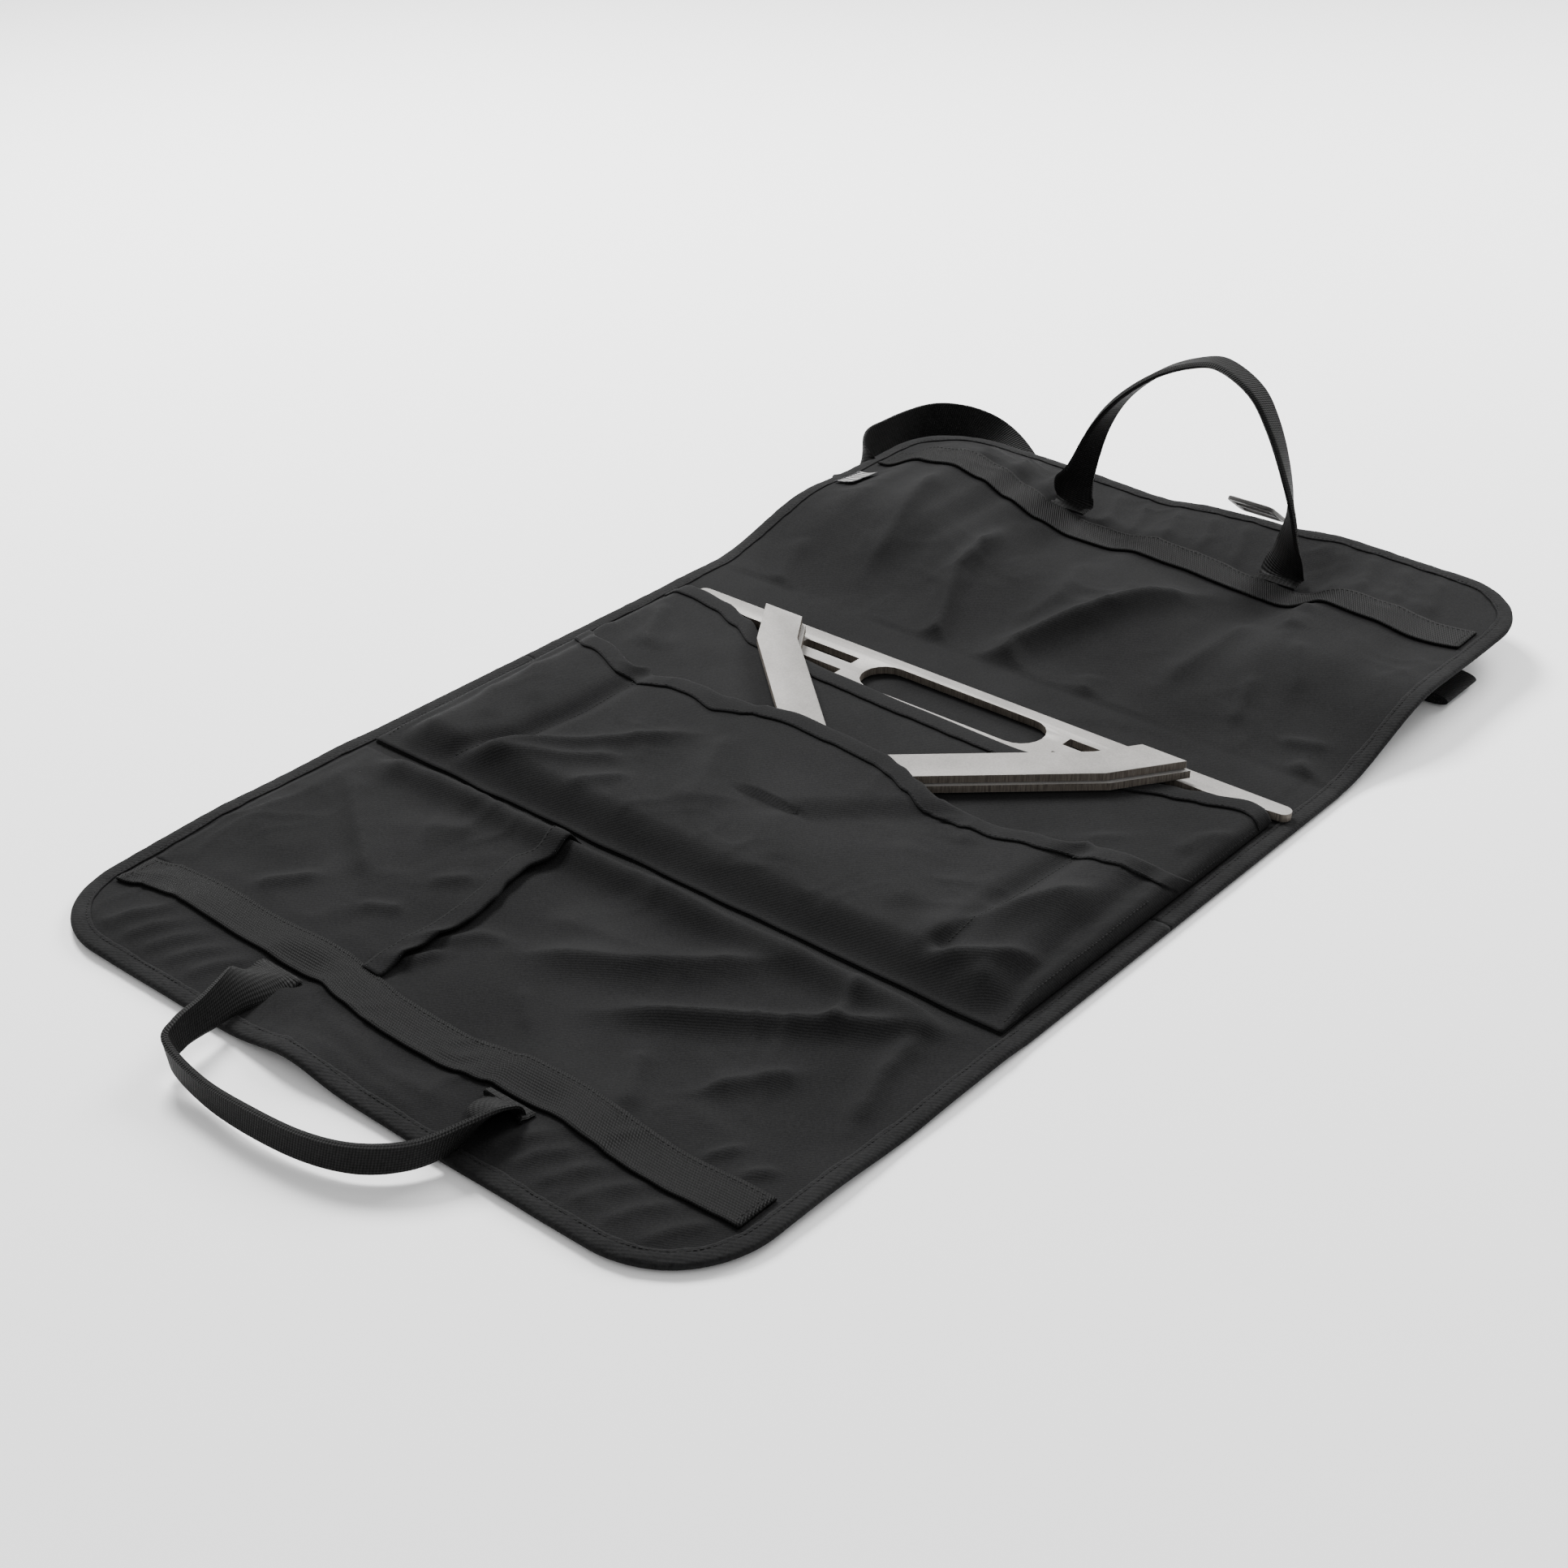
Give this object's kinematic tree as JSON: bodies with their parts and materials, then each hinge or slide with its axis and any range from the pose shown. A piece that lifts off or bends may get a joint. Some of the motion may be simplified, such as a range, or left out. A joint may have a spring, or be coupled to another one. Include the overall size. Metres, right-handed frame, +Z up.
{
  "type": "tri-fold carry bag",
  "caption": "Cloth carry bag folded open flat: three bound panels hinged at two folds, stacked pockets holding flat steel plates, webbing handles and shoulder strap",
  "frame": {"origin": "centre of the underside of the middle (pocket) panel, midway between the two folds", "axes": "+X across the bag, +Y along it from the near handle to the far handle, +Z up"},
  "size_m": [0.516, 0.8895, 0.1556],
  "materials": {
    "canvas": "fine black twill canvas",
    "pocket_cloth": "fine black twill, thinner",
    "binding_tape": "black grosgrain tape",
    "webbing": "ribbed black webbing",
    "blasted_steel": "matt bead-blasted steel with dark cut edges",
    "hardware": "dark gunmetal",
    "label": "small woven label with plain stripes"
  },
  "bodies": {
    "pocket_panel": {"middle_outer_shell": "canvas", "middle_lining": "canvas", "middle_binding_left": "binding_tape", "middle_binding_right": "binding_tape", "inner_pocket": "pocket_cloth", "inner_pocket_hem": "binding_tape", "outer_pocket": "pocket_cloth", "outer_pocket_hem": "binding_tape"},
    "near_panel": {"near_outer_shell": "canvas", "near_lining": "canvas", "near_binding": "binding_tape", "near_side_pocket": "pocket_cloth", "near_side_pocket_hem": "binding_tape", "near_webbing_band": "webbing"},
    "far_panel": {"far_outer_shell": "canvas", "far_lining": "canvas", "far_binding": "binding_tape", "far_webbing_band": "webbing", "woven_label": "label", "strap_left": "webbing", "strap_right": "webbing", "strap_anchor_left": "webbing", "strap_anchor_right": "webbing"},
    "near_handle": {"near_handle": "webbing"},
    "far_handle": {"far_handle": "webbing"},
    "hand_plate": {"hand_plate": "blasted_steel"},
    "upper_bracket": {"upper_bracket": "blasted_steel"},
    "lower_bracket": {"lower_bracket": "blasted_steel"},
    "slider": {"strap_slider": "hardware"}
  },
  "joints": [
    {"name": "near_fold", "type": "hinge", "parent": "pocket_panel", "child": "near_panel", "pos_m": [0, -0.14, 0.015], "axis": [-1, 0, 0], "range_deg": [0, 160]},
    {"name": "far_fold", "type": "hinge", "parent": "pocket_panel", "child": "far_panel", "pos_m": [0, 0.14, 0.015], "axis": [-1, 0, 0], "range_deg": [-140, 0]},
    {"name": "near_handle_swing", "type": "hinge", "parent": "near_panel", "child": "near_handle", "pos_m": [0, -0.3265, 0.0049], "axis": [1, 0, 0], "range_deg": [-110, 0]},
    {"name": "far_handle_swing", "type": "hinge", "parent": "far_panel", "child": "far_handle", "pos_m": [0, 0.3735, 0.0269], "axis": [1, 0, 0], "range_deg": [0, 80]},
    {"name": "hand_plate_slide", "type": "slide", "parent": "pocket_panel", "child": "hand_plate", "axis": [0, 1, 0], "range_m": [0, 0.04]},
    {"name": "upper_bracket_slide", "type": "slide", "parent": "pocket_panel", "child": "upper_bracket", "axis": [0, 1, 0], "range_m": [-0.025, 0.05]},
    {"name": "lower_bracket_slide", "type": "slide", "parent": "pocket_panel", "child": "lower_bracket", "axis": [0, 1, 0], "range_m": [-0.05, 0.05]},
    {"name": "slider_slide", "type": "slide", "parent": "far_panel", "child": "slider", "axis": [0, 1, 0], "range_m": [0, 0.02]}
  ]
}
